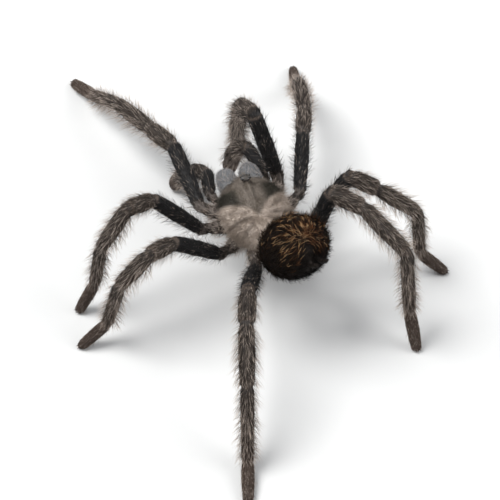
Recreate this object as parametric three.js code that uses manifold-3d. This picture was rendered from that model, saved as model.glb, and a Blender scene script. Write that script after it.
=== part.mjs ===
// A male tarantula standing on eight feet, at life size, as a still model.
// Units are millimetres and degrees. The head points to -Y, the animal's left is +X, and the floor is z = 0.
import * as THREE from "three";
import { mergeVertices } from "three/addons/utils/BufferGeometryUtils.js";
import Module from "manifold-3d";

// Driving dimensions.
const GAP = 0.3; // between one piece and the next
const HIP_HEIGHT = 13.2; // where each leg's femur starts, above the floor
const PALP_HEIGHT = 11.9; // where each palp's femur starts
const SOLE_LIFT = { level: 0.82, upright: 0.46 }; // from a sole up to the end of the tarsus's centre line
const TROCHANTER = 2.2; // the short segment between coxa and femur

const CARAPACE = { front: -8.7, rear: 9.1, halfWidth: 7.3, rim: 14.6, dome: 3.6, caput: 5.2 };
const CAPUT = { halfWidth: 5.6, rear: -0.6 };
const FOVEA = { y: 2.3, depth: 0.7, width: 1.1 };
const EYE_MOUND = { y: -6.3, length: 1.6, width: 2.0, height: 1.4, eye: 0.25 };
const STERNUM = { y: -0.4, halfLength: 6.6, halfWidth: 4.6, bottom: 10.2 };
const CHELICERA = { x: 2.35, start: -6.8, end: -13.4, top: 14.8, bottom: 13.4, radius: 2.25, tall: 1.12 };
const FANG = { radius: 0.55, root: [2.4, -12.0, 12.6], bend: [2.3, -12.6, 8.2], tip: [1.7, -9.2, 7.9] };
const PEDICEL = { start: [0, 5.6, 13.1], bend: [0, 9.2, 13.4], radius: 1.15, reach: 1.4 };
const ABDOMEN = {
  root: [0, 9.5, 17.7],
  length: 17.0,
  halfWidth: 7.8,
  halfHeight: 6.8,
  raise: 37,
  swing: 16,
};
const SPINNERET = { root: 14.6, side: 1.1, below: 2.9, length: 4.0, radius: 0.6 };

// Femur, patella, tibia, metatarsus and tarsus of each pair of legs.
const LEG_LENGTHS = {
  1: [16.3, 7.7, 12.4, 10.7, 8.1],
  2: [14.4, 6.9, 10.9, 10.6, 7.5],
  3: [13.0, 6.2, 9.4, 11.3, 7.3],
  4: [14.6, 6.8, 12.4, 15.6, 8.3],
};
// Femur, patella, tibia and tarsus of a palp.
const PALP_LENGTHS = [7.3, 4.4, 5.1, 3.0];

// Radii at the near end, the belly and the far end of each segment, out to the tips of its close coat.
const LEG_RADII = {
  femur: [1.5, 1.84, 1.72],
  patella: [1.78, 1.98, 1.82],
  tibia: [1.72, 1.84, 1.56],
  metatarsus: [1.52, 1.54, 1.4],
  tarsus: [1.4, 1.52, 1.18],
};
const PALP_RADII = {
  femur: [1.35, 1.7, 1.55],
  patella: [1.6, 1.85, 1.7],
  tibia: [1.7, 2.0, 1.8],
  tarsus: [1.7, 1.85, 1.4],
};
const STOUTNESS = { 1: 1.02, 2: 0.96, 3: 0.98, 4: 1.03 };
const COXA_RADIUS = 1.5;
const PALP_COXA_RADIUS = 1.3;

// Where each coxa leaves the sternum and where it ends, as distance from the midline and y.
const COXAE = {
  palp: { from: [2.0, -4.6], to: [5.4, -8.4] },
  1: { from: [2.6, -3.2], to: [7.8, -6.1] },
  2: { from: [3.0, -1.0], to: [8.9, -1.3] },
  3: { from: [2.8, 1.6], to: [7.8, 4.6] },
  4: { from: [2.0, 3.8], to: [4.5, 9.3] },
};

// The stance. Swing turns a coxa back about its root, or ahead where it is negative.
// Bearings run from straight ahead towards the leg's own side: femur, patella, tibia and onwards.
// A limb's last bearing also serves the segments beyond it.
// Rises are above level: femur, patella, tibia and tarsus. The metatarsus reaches for the floor.
const STANCE = {
  left_1: { swing: 8, bearings: [0, 19, 17], rises: [2, -11, -14, -21] },
  left_2: { swing: 2, bearings: [78, 113, 95], rises: [49, 22, -57, -61] },
  left_3: { swing: 6, bearings: [93, 114, 90], rises: [40, 15, -47, -41] },
  left_4: { swing: 10, bearings: [153, 158, 161], rises: [35, -12, -22, -9] },
  right_1: { swing: -7, bearings: [-31, -5, 15], rises: [67, -32, -70, -13] },
  right_2: { swing: -8, bearings: [23, 23, 15], rises: [8, -7, -16, -16] },
  right_3: { swing: -6, bearings: [84, 126, 124, 165, 118], rises: [52, -18, -30, -44] },
  right_4: { swing: -3, bearings: [78, 137, 156, 176], rises: [67, -4, -14, -62] },
};
// A palp hangs clear of the floor: the rises are of femur, patella, tibia and tarsus.
const PALP_STANCE = {
  left: { swing: 3, bearings: [-14, 30, 44], rises: [-13, -28, -54, -66] },
  right: { swing: -3, bearings: [-10, -28, -28], rises: [20, -38, -76, -80] },
};

const COLOURS = {
  carapace: "#8d8272",
  limb: "#4d463d",
  femur: "#1d1b1a",
  foot: "#54473a",
  abdomen: "#2b1c12",
  chelicera: "#54565a",
  horn: "#120d0b",
  underside: "#2a2320",
};

const wasm = await Module();
wasm.setup();

const rad = THREE.MathUtils.degToRad;
const lerp = THREE.MathUtils.lerp;

// Solids and cuts.

function solidOf(geometry) {
  const bare = new THREE.BufferGeometry();
  bare.setAttribute("position", geometry.toNonIndexed().getAttribute("position"));
  bare.getAttribute("position").array.forEach((value, i, array) => {
    array[i] = Math.round(value * 1e4) / 1e4;
  });
  const merged = mergeVertices(bare, 1e-5);
  const vertProperties = merged.attributes.position.array;
  const triVerts = new Uint32Array(merged.index.array);
  return new wasm.Manifold(new wasm.Mesh({ numProp: 3, vertProperties, triVerts }));
}

function geometryOf(solid) {
  const mesh = solid.getMesh();
  const geometry = new THREE.BufferGeometry();
  geometry.setAttribute("position", new THREE.BufferAttribute(new Float32Array(mesh.vertProperties), 3));
  geometry.setIndex(new THREE.BufferAttribute(new Uint32Array(mesh.triVerts), 1));
  return geometry;
}

// Keeps what lies on the side of a plane that its normal points to, half a gap away from it.
function keepSide(solid, point, normal) {
  const n = normal.clone().normalize();
  return solid.trimByPlane(n.toArray(), n.dot(point) + GAP / 2);
}

// A solid grown by one gap on each side of its box, to cut a neighbour back from it.
function grown(solid) {
  const { min, max } = solid.boundingBox();
  const centre = min.map((low, i) => (low + max[i]) / 2);
  const scale = min.map((low, i) => 1 + (2 * GAP) / (max[i] - low));
  return solid.translate(centre.map((value) => -value)).scale(scale).translate(centre);
}

// A limb-like form: rings round a path, with the radius given at each share of its length.
// The form is made upright on the Y axis and laid along the path; tall stretches it in the path's own up.
function limb(path, radiusAt, { sides = 10, rings = 7, tall = 1 } = {}) {
  const profile = [];
  for (let i = 0; i <= rings; i += 1) {
    const share = 0.5 - 0.5 * Math.cos((Math.PI * i) / rings);
    const closed = i === 0 || i === rings;
    profile.push(new THREE.Vector2(closed ? 0 : radiusAt(share), share));
  }
  const geometry = new THREE.LatheGeometry(profile, sides);
  const position = geometry.getAttribute("position");
  const point = new THREE.Vector3();
  for (let i = 0; i < position.count; i += 1) {
    point.fromBufferAttribute(position, i);
    const along = THREE.MathUtils.clamp(point.y, 0, 1);
    const tangent = path.getTangentAt(along);
    const flat = new THREE.Vector3(tangent.y, -tangent.x, 0);
    const side = flat.lengthSq() < 1e-6 ? new THREE.Vector3(1, 0, 0) : flat.normalize();
    const up = new THREE.Vector3().crossVectors(side, tangent);
    const place = path.getPointAt(along).addScaledVector(side, point.x).addScaledVector(up, point.z * tall);
    position.setXYZ(i, place.x, place.y, place.z);
  }
  return solidOf(geometry);
}

// A segment between two joints, with a round end past each joint that its neighbour's cut then trims.
function segmentSolid(start, end, radii, { bow = 0, sides = 10, rings = 7 } = {}) {
  const along = end.clone().sub(start);
  const length = along.length();
  along.normalize();
  const [near, belly, far] = radii;
  const tail = start.clone().addScaledVector(along, -near * 0.9);
  const head = end.clone().addScaledVector(along, far * 0.9);
  const middle = tail.clone().lerp(head, 0.5).add(new THREE.Vector3(0, 0, bow));
  const full = length + 0.9 * (near + far);
  const path = bow ? new THREE.QuadraticBezierCurve3(tail, middle, head) : new THREE.LineCurve3(tail, head);
  const radiusAt = (share) => {
    const at = share * full;
    const body = share < 0.5 ? lerp(near, belly, share * 2) : lerp(belly, far, share * 2 - 1);
    const fromEnd = Math.min(at / (near * 0.9), (full - at) / (far * 0.9), 1);
    return body * Math.sqrt(1 - (1 - fromEnd) ** 2);
  };
  return limb(path, radiusAt, { sides, rings, tall: 1.06 });
}

// The direction of a bearing and a rise, for a limb on one side: side is +1 on the left and -1 on the right.
function heading(side, bearing, rise) {
  const level = Math.cos(rad(rise));
  return new THREE.Vector3(
    side * Math.sin(rad(bearing)) * level,
    -Math.cos(rad(bearing)) * level,
    Math.sin(rad(rise)),
  );
}

// Joints of a limb from its coxa's root outwards. The trochanter splits the turn between coxa and femur.
function jointsOf(side, coxa, height, lengths, { swing, bearings, rises }) {
  const root = new THREE.Vector3(side * coxa.from[0], coxa.from[1], height - 0.9);
  const reach = new THREE.Vector3(side * (coxa.to[0] - coxa.from[0]), coxa.to[1] - coxa.from[1], 0.9);
  reach.applyAxisAngle(new THREE.Vector3(0, 0, 1), side * rad(swing));
  const end = root.clone().add(reach);
  const outward = Math.atan2(side * reach.x, -reach.y);
  const halfway = (THREE.MathUtils.radToDeg(outward) + bearings[0]) / 2;
  const joints = [root, end, end.clone().addScaledVector(heading(side, halfway, 0), TROCHANTER)];
  lengths.forEach((length, i) => {
    const step = heading(side, bearings[Math.min(i, bearings.length - 1)], rises[i]);
    joints.push(joints[joints.length - 1].clone().addScaledVector(step, length));
  });
  return joints;
}

// The metatarsus's rise that brings the end of the tarsus to the floor.
function reachingRise(lengths, rises) {
  const [femur, patella, tibia, metatarsus, tarsus] = lengths;
  const fall = (length, rise) => -length * Math.sin(rad(rise));
  const ankle = HIP_HEIGHT - fall(femur, rises[0]) - fall(patella, rises[1]) - fall(tibia, rises[2]);
  const lift = lerp(SOLE_LIFT.level, SOLE_LIFT.upright, -Math.sin(rad(rises[3])));
  const left = ankle - lift - fall(tarsus, rises[3]);
  return -THREE.MathUtils.radToDeg(Math.asin(left / metatarsus));
}

const group = new THREE.Group();
group.name = "tarantula";

function addPiece(name, solid, colour, roughness = 0.8) {
  const material = new THREE.MeshStandardMaterial({ color: colour, roughness, metalness: 0 });
  const mesh = new THREE.Mesh(geometryOf(solid), material);
  mesh.name = name;
  group.add(mesh);
}

// The planes where a limb's segments meet: each halves the turn at its joint.
function jointPlanes(joints) {
  const steps = joints.slice(1).map((joint, i) => joint.clone().sub(joints[i]).normalize());
  return joints.map((point, i) => {
    const before = steps[Math.max(i - 1, 0)];
    const after = steps[Math.min(i, steps.length - 1)];
    return { point, normal: before.clone().add(after).normalize() };
  });
}

// Two short spurs under the far end of a male's first tibia.
function tibialSpurs(start, end, side) {
  const along = end.clone().sub(start).normalize();
  const across = new THREE.Vector3(-along.y, along.x, 0).normalize();
  const down = new THREE.Vector3().crossVectors(across, along).normalize();
  if (down.z > 0) down.negate();
  const root = start.clone().lerp(end, 0.86);
  return [-0.35, 0.6].map((turn) => {
    const outward = down.clone().addScaledVector(across, turn * side).normalize();
    const base = root.clone().addScaledVector(outward, 0.9);
    const tip = root.clone().addScaledVector(outward, 2.3).addScaledVector(along, 0.9);
    return limb(new THREE.LineCurve3(base, tip), (share) => 0.5 - 0.25 * share, { sides: 6, rings: 4 });
  });
}

function addLimb(prefix, suffix, joints, segments, radii, stoutness) {
  const planes = jointPlanes(joints);
  segments.forEach((segment, i) => {
    const start = joints[i + 2];
    const end = joints[i + 3];
    const scaled = radii[segment].map((radius) => radius * stoutness);
    const slim = segment === "metatarsus" || segment === "tarsus" || prefix === "palp";
    const detail = slim ? { sides: 8, rings: 5 } : { sides: 9, rings: 6 };
    let solid = segmentSolid(start, end, scaled, { bow: segment === "femur" ? 0.5 : 0, ...detail });
    if (segment === "femur") {
      const knob = scaled[0];
      solid = solid.add(segmentSolid(joints[1], start, [knob * 0.96, knob, knob], { sides: 7, rings: 4 }));
      solid = keepSide(solid, planes[1].point, planes[1].normal);
    } else {
      solid = keepSide(solid, start, planes[i + 2].normal);
    }
    if (segment === "tibia" && suffix.endsWith("_1")) {
      tibialSpurs(start, end, suffix.startsWith("left") ? 1 : -1).forEach((spur) => {
        solid = solid.add(spur);
      });
    }
    const last = i === segments.length - 1;
    if (!last) solid = keepSide(solid, end, planes[i + 3].normal.clone().negate());
    if (last && prefix === "leg") solid = solid.trimByPlane([0, 0, 1], 0);
    const colour = { femur: COLOURS.femur, tarsus: COLOURS.foot }[segment] || COLOURS.limb;
    addPiece(`${prefix}_${suffix}_${segment}`, solid, colour);
  });
}

const LEG_SEGMENTS = ["femur", "patella", "tibia", "metatarsus", "tarsus"];
const PALP_SEGMENTS = ["femur", "patella", "tibia", "tarsus"];
const coxae = []; // each coxa's two ends, its radius, and the plane where its femur's piece starts

function layLimb(side, hand, key, height, lengths, stance) {
  const joints = jointsOf(side, COXAE[key], height, lengths, stance);
  const palp = key === "palp";
  coxae.push({ root: joints[0], radius: palp ? PALP_COXA_RADIUS : COXA_RADIUS, ...jointPlanes(joints)[1] });
  if (palp) addLimb("palp", hand, joints, PALP_SEGMENTS, PALP_RADII, 1);
  else addLimb("leg", `${hand}_${key}`, joints, LEG_SEGMENTS, LEG_RADII, STOUTNESS[key]);
}

for (const side of [1, -1]) {
  const hand = side > 0 ? "left" : "right";
  for (const pair of [1, 2, 3, 4]) {
    const stance = STANCE[`${hand}_${pair}`];
    const { rises } = stance;
    const lengths = LEG_LENGTHS[pair];
    const all = [...rises.slice(0, 3), reachingRise(lengths, rises), rises[3]];
    layLimb(side, hand, pair, HIP_HEIGHT, lengths, { ...stance, rises: all });
  }
  layLimb(side, hand, "palp", PALP_HEIGHT, PALP_LENGTHS, PALP_STANCE[hand]);
}

// The underside: the sternum with the coxae that grow from it, flat on top where the carapace lies over it.
function undersideSolid() {
  const top = CARAPACE.rim - GAP;
  const plate = new THREE.SphereGeometry(1, 14, 7);
  plate.rotateX(Math.PI / 2);
  plate.scale(STERNUM.halfWidth, STERNUM.halfLength, top - STERNUM.bottom);
  plate.translate(0, STERNUM.y, top);
  let solid = solidOf(plate);
  for (const { root, point, normal, radius } of coxae) {
    const coxa = segmentSolid(root, point, [radius, radius * 1.12, radius], { sides: 7, rings: 4 });
    solid = solid.add(keepSide(coxa, point, normal.clone().negate()));
  }
  return solid.trimByPlane([0, 0, -1], -top);
}

// Half-width of the carapace at a share of its length from the front: a blunt head widens to a round shield.
function carapaceHalfWidth(share) {
  const bluntness = share < 0.5 ? 5 : 2.6;
  const round = Math.sqrt(Math.max(0, 1 - Math.abs(2 * share - 1) ** bluntness));
  return CARAPACE.halfWidth * round * lerp(0.86, 1, THREE.MathUtils.smoothstep(share, 0.02, 0.5));
}

// Height of the carapace above its rim: a low dome, the raised caput in front, and the pit of the fovea.
function carapaceHeight(x, y) {
  const share = (y - CARAPACE.front) / (CARAPACE.rear - CARAPACE.front);
  const half = Math.max(carapaceHalfWidth(share), 1e-3);
  const across = Math.min(Math.abs(x) / half, 1);
  const arch = Math.sqrt(1 - across ** lerp(4, 2.4, share));
  const dome = CARAPACE.dome * arch * Math.sqrt(Math.sin(Math.PI * lerp(0.1, 0.95, share)));
  const narrow = CAPUT.halfWidth * THREE.MathUtils.smoothstep(y, CAPUT.rear + 3, CARAPACE.front + 2);
  const onCaput = 1 - THREE.MathUtils.smoothstep(Math.abs(x), narrow * 0.55, narrow + 0.6);
  const ahead = 1 - THREE.MathUtils.smoothstep(y, CARAPACE.front + 4.5, CAPUT.rear + 3);
  const caput = (CARAPACE.caput - CARAPACE.dome) * onCaput * ahead;
  const pit = Math.exp(-((x / FOVEA.width) ** 2) - ((y - FOVEA.y) / (FOVEA.width * 0.7)) ** 2);
  return dome + caput - FOVEA.depth * pit;
}

function carapaceSolid() {
  const cap = new THREE.SphereGeometry(1, 24, 12);
  cap.rotateX(Math.PI / 2);
  const position = cap.getAttribute("position");
  const length = CARAPACE.rear - CARAPACE.front;
  for (let i = 0; i < position.count; i += 1) {
    const share = 0.5 + 0.5 * position.getY(i);
    const y = CARAPACE.front + share * length;
    const ring = Math.sqrt(Math.max(1e-9, 1 - position.getY(i) ** 2));
    const across = THREE.MathUtils.clamp(position.getX(i) / ring, -1, 1);
    const x = across * carapaceHalfWidth(share);
    const top = carapaceHeight(x, y) + 0.05;
    position.setXYZ(i, x, y, CARAPACE.rim + (position.getZ(i) > 0 ? top : 0));
  }
  return solidOf(cap);
}

function eyeMoundSolid() {
  const top = CARAPACE.rim + carapaceHeight(0, EYE_MOUND.y);
  const mound = new THREE.SphereGeometry(0.5, 10, 6);
  mound.scale(EYE_MOUND.width, EYE_MOUND.length, EYE_MOUND.height);
  mound.translate(0, EYE_MOUND.y, top + 0.2);
  let solid = solidOf(mound);
  const rows = [
    { y: -0.42, x: [0.34, 0.86] },
    { y: 0.34, x: [0.58, 0.9] },
  ];
  for (const row of rows) {
    for (const x of row.x) {
      for (const side of [1, -1]) {
        const eye = new THREE.SphereGeometry(EYE_MOUND.eye, 6, 3);
        const fall = 0.55 * Math.hypot(x, row.y) ** 2;
        eye.translate(side * x, EYE_MOUND.y + row.y, top + 0.86 - fall);
        solid = solid.add(solidOf(eye));
      }
    }
  }
  return solid.trimByPlane([0, 0, 1], top + GAP);
}

function cheliceraSolid(side) {
  const start = new THREE.Vector3(side * CHELICERA.x, CHELICERA.start, CHELICERA.top);
  const end = new THREE.Vector3(side * CHELICERA.x, CHELICERA.end, CHELICERA.bottom);
  const middle = start.clone().lerp(end, 0.55).add(new THREE.Vector3(side * 0.15, 0, 0.7));
  const path = new THREE.QuadraticBezierCurve3(start, middle, end);
  const fullness = (share) => Math.sqrt(1 - Math.abs(2 * share - 1) ** 3);
  const radiusAt = (share) => CHELICERA.radius * fullness(share) * lerp(1.02, 0.96, share);
  let solid = limb(path, radiusAt, { sides: 12, rings: 8, tall: CHELICERA.tall });
  solid = keepSide(solid, new THREE.Vector3(0, CARAPACE.front - GAP, 0), new THREE.Vector3(0, -1, 0));
  return keepSide(solid, new THREE.Vector3(), new THREE.Vector3(side, 0, 0));
}

function fangSolid(side, chelicera) {
  const [root, bend, tip] = [FANG.root, FANG.bend, FANG.tip].map(
    ([x, y, z]) => new THREE.Vector3(side * x, y, z),
  );
  const path = new THREE.QuadraticBezierCurve3(root, bend, tip);
  const fang = limb(path, (share) => FANG.radius * (1.05 - 0.6 * share), { sides: 8, rings: 8 });
  return fang.subtract(grown(chelicera));
}

function abdomenFrame() {
  const back = heading(-1, 180 - ABDOMEN.swing, ABDOMEN.raise);
  const side = new THREE.Vector3(-back.y, back.x, 0).normalize().negate();
  const up = new THREE.Vector3().crossVectors(side, back).normalize();
  if (up.z < 0) up.negate();
  return { back, side, up };
}

function abdomenSolid() {
  const root = new THREE.Vector3(...ABDOMEN.root);
  const end = root.clone().addScaledVector(abdomenFrame().back, ABDOMEN.length);
  const path = new THREE.LineCurve3(root, end);
  const fullness = (share) => Math.sin(Math.PI * share ** 1.1) ** 0.6;
  return limb(path, (share) => ABDOMEN.halfWidth * fullness(share), {
    sides: 18,
    rings: 12,
    tall: ABDOMEN.halfHeight / ABDOMEN.halfWidth,
  });
}

// The waist: it leaves the underside below the carapace's rear edge and turns up into the abdomen.
function pedicelSolid(neighbours) {
  const { back } = abdomenFrame();
  const start = new THREE.Vector3(...PEDICEL.start);
  const bend = new THREE.Vector3(...PEDICEL.bend);
  const end = new THREE.Vector3(...ABDOMEN.root).addScaledVector(back, PEDICEL.reach);
  const path = new THREE.QuadraticBezierCurve3(start, bend, end);
  const waist = limb(path, () => PEDICEL.radius, { sides: 8, rings: 6 });
  return neighbours.reduce((solid, neighbour) => solid.subtract(grown(neighbour)), waist);
}

function spinneretSolid(side, abdomen) {
  const { back, side: across, up } = abdomenFrame();
  const base = new THREE.Vector3(...ABDOMEN.root)
    .addScaledVector(back, SPINNERET.root)
    .addScaledVector(across, side * SPINNERET.side)
    .addScaledVector(up, -SPINNERET.below);
  const tip = base.clone().addScaledVector(back, SPINNERET.length).addScaledVector(up, 0.8);
  const radiusAt = (share) => SPINNERET.radius * (1.1 - 0.35 * share);
  const finger = limb(new THREE.LineCurve3(base, tip), radiusAt, { sides: 8, rings: 6 });
  return finger.subtract(grown(abdomen));
}

const underside = undersideSolid();
const carapace = carapaceSolid();
const abdomen = abdomenSolid();
addPiece("sternum_coxae", underside, COLOURS.underside);
addPiece("carapace", carapace, COLOURS.carapace);
addPiece("pedicel", pedicelSolid([underside, carapace, abdomen]), COLOURS.underside);
addPiece("abdomen", abdomen, COLOURS.abdomen);
addPiece("eye_mound", eyeMoundSolid(), COLOURS.horn, 0.3);
for (const side of [1, -1]) {
  const hand = side > 0 ? "left" : "right";
  const chelicera = cheliceraSolid(side);
  addPiece(`chelicera_${hand}`, chelicera, COLOURS.chelicera);
  addPiece(`fang_${hand}`, fangSolid(side, chelicera), COLOURS.horn, 0.25);
  addPiece(`spinneret_${hand}`, spinneretSolid(side, abdomen), COLOURS.horn);
}

// The part stands on the middle of its own footprint.
const box = new THREE.Box3().setFromObject(group);
group.position.set(-(box.min.x + box.max.x) / 2, -(box.min.y + box.max.y) / 2, 0);

export default group;
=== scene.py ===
"""A male tarantula on a plain floor: skin, shell, coat, eyes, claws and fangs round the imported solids."""

import math
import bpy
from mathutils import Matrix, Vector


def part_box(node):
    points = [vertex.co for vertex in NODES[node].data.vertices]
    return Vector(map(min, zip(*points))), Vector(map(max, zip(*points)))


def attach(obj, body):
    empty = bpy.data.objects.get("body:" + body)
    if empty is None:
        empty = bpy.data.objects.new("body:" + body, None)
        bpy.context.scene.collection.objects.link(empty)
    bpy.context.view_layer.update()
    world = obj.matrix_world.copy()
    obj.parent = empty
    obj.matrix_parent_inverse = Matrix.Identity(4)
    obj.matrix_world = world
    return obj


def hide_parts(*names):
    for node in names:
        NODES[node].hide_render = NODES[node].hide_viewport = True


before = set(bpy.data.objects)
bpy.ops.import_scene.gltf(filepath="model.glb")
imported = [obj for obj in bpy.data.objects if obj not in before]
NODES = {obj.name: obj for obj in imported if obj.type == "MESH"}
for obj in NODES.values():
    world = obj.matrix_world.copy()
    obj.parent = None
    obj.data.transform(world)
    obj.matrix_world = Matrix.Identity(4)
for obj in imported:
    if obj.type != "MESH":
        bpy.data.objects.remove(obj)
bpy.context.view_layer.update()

from types import SimpleNamespace

import bmesh
import bpy
import numpy as np
from mathutils import Matrix, Vector
from mathutils.bvhtree import BVHTree

MM = 0.001

# How each skin is meshed: the width of its faces, in millimetres, and the rounds of smoothing it gets.
BODY_MESH = (0.3, 10)
PALP_MESH = (0.3, 8)
PLATE_MESH = (0.2, 8)
JAW_MESH = (0.12, 20)
FANG_MESH = (0.07, 14)

# Sizes in millimetres, and shares of them.
SMOOTHING_LOSS = 0.08  # what smoothing takes off a limb by itself
JOINT_REACH = 0.95  # how near two nodes' corners lie across the gap between them
COXA_REACH = 2.3  # how far a coxa's own surface lies from its middle line
COXA_INWARD = 0.62  # where a coxa's middle line starts: this share of the way in to the body's middle,
COXA_DROP = 0.5  # and this much lower
NO_JOINT = 9.0  # the distance to a joint where there is none
TURNING = 0.2  # the share of a segment, at each end, where its coat turns to lie as its neighbour's does
TROCHANTER = 2.2  # how much of a leg's second node is its short ring next to the coxa

# How deep the coat is over the skin.
DEPTH = {
    "coxa": 0.32,
    "femur": 0.4,
    "patella": 0.4,
    "tibia": 0.42,
    "metatarsus": 0.36,
    "tarsus": 0.32,
    "abdomen": 1.0,
    "chelicera": 0.3,  # where a palp's skin touches a jaw
    "spinneret": 0.05,
    "body": 0.3,
}

# Tufts of the close coat: how many on a square millimetre, how long, how wide, and how far they lift, in
# degrees.
CLOSE_COAT = {
    "coxa": (14, 0.85, 0.1, 30),
    "femur": (14, 1.2, 0.095, 17),
    "patella": (17, 1.3, 0.09, 17),
    "tibia": (17.4, 1.35, 0.09, 18),
    "metatarsus": (18, 1.2, 0.085, 18),
    "tarsus": (24, 0.7, 0.08, 20),
}
# Long single hairs that stand out past the close coat, in the same terms.
LONG_HAIRS = {
    "coxa": (8.0, 1.8, 0.055, 52),
    "femur": (3.3, 1.9, 0.05, 56),
    "patella": (4.4, 2.1, 0.055, 52),
    "tibia": (6.0, 2.6, 0.055, 54),
    "metatarsus": (6.2, 2.5, 0.055, 54),
    "tarsus": (2.4, 0.95, 0.045, 44),
}
CLOSE_BEND = 24.0  # how far a tuft of the close coat leans over as it grows, in degrees
LONG_BEND = 36.0
# The length, width, lift, bend and curl of an even coat's tufts.
UNDERSIDE_TUFT = (0.7, 0.1, 30.0, 20.0, 0)
FELT_TUFT = (0.46, 0.07, 28.0, 20.0, 0)
# The share of the tufts of the close coat, and of the long hairs, that are pale.
PALE_SHARE = {
    "coxa": (0.3, 0.95),
    "femur": (0.02, 0.3),
    "patella": (0.1, 0.95),
    "tibia": (0.08, 1.0),
    "metatarsus": (0.07, 1.0),
    "tarsus": (0.1, 0.7),
    "chelicera": (0.3, 0),
}

LEG_SEGMENTS = ("femur", "patella", "tibia", "metatarsus", "tarsus")
PALP_SEGMENTS = ("femur", "patella", "tibia", "tarsus")
KINDS = ("coxa", *LEG_SEGMENTS, "body", "abdomen", "spinneret", "chelicera")
TUFT_PATCH = 0.003  # the share of the bake's map that one tuft takes
ABSENT = (0, 0, 0, 0)  # the row for a kind that a table doesn't name


# Reading the frame.


def corners_of(name):
    """A node's distinct corners, in millimetres."""
    places = [vert.co / MM for vert in NODES[name].data.vertices]
    return np.unique(np.round(places, 3), axis=0)


def meeting(first, second):
    """The middle of the gap where two nodes meet end to end, and the radius of the ends there."""
    a, b = corners_of(first), corners_of(second)
    apart = np.linalg.norm(a[:, None] - b[None], axis=2)
    ends = [a[apart.min(1) < JOINT_REACH], b[apart.min(0) < JOINT_REACH]]
    middle = (ends[0].mean(0) + ends[1].mean(0)) / 2
    radius = np.linalg.norm(np.concatenate(ends) - middle, axis=1).mean()
    return middle, radius


def unit(rows):
    return rows / np.maximum(np.linalg.norm(rows, axis=-1, keepdims=True), 1e-9)


def smoothstep(low, high, value):
    share = np.clip((value - low) / (high - low), 0, 1)
    return share * share * (3 - 2 * share)


def bell(offset, width, power=2):
    """1 where the offset is nothing, falling to 0 past the width on both sides."""
    return np.exp(-((offset / width) ** power))


class Limb:
    """A leg or a palp: its nodes from the body outwards, and its joints from the coxa's root to the tip."""

    def __init__(self, name, segments):
        self.name = name
        self.segments = ("coxa", *segments)
        self.nodes = [f"{name}_{segment}" for segment in segments]
        chain = ["sternum_coxae", *self.nodes]
        met = [meeting(a, b) for a, b in zip(chain, chain[1:])]
        joints = [middle for middle, _ in met]
        self.radii = [radius for _, radius in met]
        last = corners_of(self.nodes[-1])
        tip = last[np.argmax(np.linalg.norm(last - joints[-1], axis=1))]
        root = joints[0] + COXA_INWARD * (BODY_MIDDLE - joints[0]) - [0, 0, COXA_DROP]
        self.joints = np.array([root, *joints, tip])
        steps = np.diff(self.joints, axis=0)
        self.lengths = np.linalg.norm(steps, axis=1)
        self.ways = unit(steps)
        self.starts = np.concatenate([[0], np.cumsum(self.lengths)])


low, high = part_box("sternum_coxae")
BODY_MIDDLE = np.array((low + high) / 2) / MM
LEGS = [Limb(f"leg_{hand}_{pair}", LEG_SEGMENTS) for hand in ("left", "right") for pair in (1, 2, 3, 4)]
PALPS = [Limb(f"palp_{hand}", PALP_SEGMENTS) for hand in ("left", "right")]
LIMBS = LEGS + PALPS


def owners():
    """One search tree over all the nodes, with the node that each of its faces belongs to."""
    corners, faces, owner = [], [], []
    for name, node in NODES.items():
        first = len(corners)
        corners += [vert.co / MM for vert in node.data.vertices]
        faces += [[first + i for i in face.vertices] for face in node.data.polygons]
        owner += [name] * len(node.data.polygons)
    return BVHTree.FromPolygons(corners, faces), owner


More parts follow.
